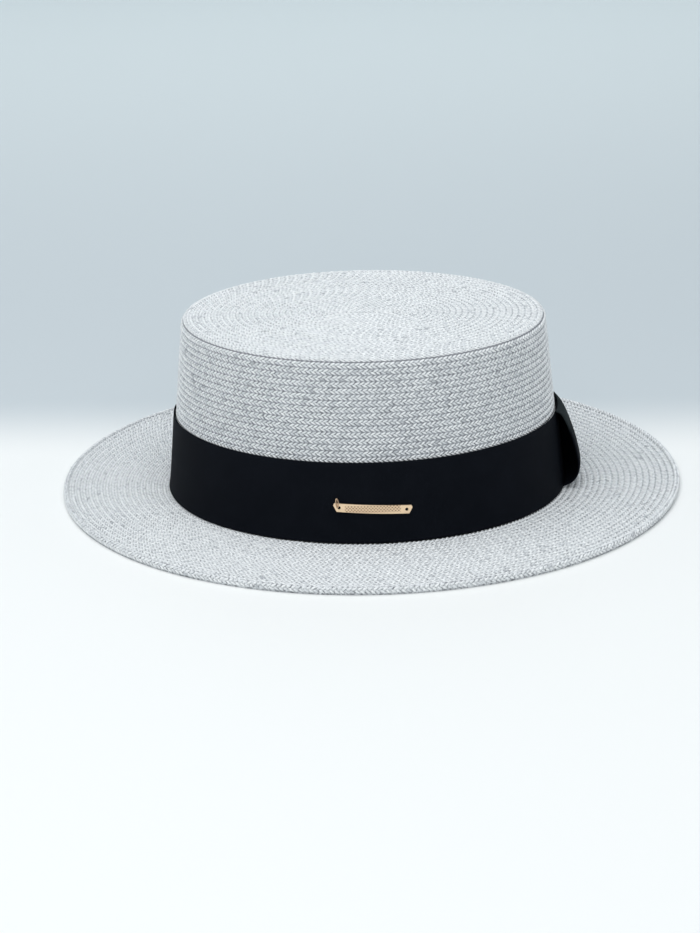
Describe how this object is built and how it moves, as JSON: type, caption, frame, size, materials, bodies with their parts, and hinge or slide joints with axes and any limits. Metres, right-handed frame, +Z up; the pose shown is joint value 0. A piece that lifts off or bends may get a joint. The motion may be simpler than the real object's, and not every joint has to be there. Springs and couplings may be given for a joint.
{
  "type": "straw boater hat",
  "caption": "Flat-topped oval straw hat with a flat brim and rolled edge, a black ribbon with a loop wrapped over its join, and a small blank metal plate.",
  "frame": {"origin": "on the resting surface, under the middle of the brim", "axes": "+Z up through the crown; X along the longer diameter with the ribbon's loop at +X; the plate faces -Y"},
  "size_m": [0.305, 0.295, 0.0886],
  "materials": {
    "braid": "silvery white straw plait, satin, flecked with grey",
    "ribbon": "matt black ribbed ribbon",
    "plate": "brushed rose brass"
  },
  "bodies": {
    "root": {"crown": "braid", "brim": "braid", "brim_edge": "braid", "ribbon_band": "ribbon", "ribbon_loop": "ribbon", "name_plate": "plate"}
  },
  "joints": []
}
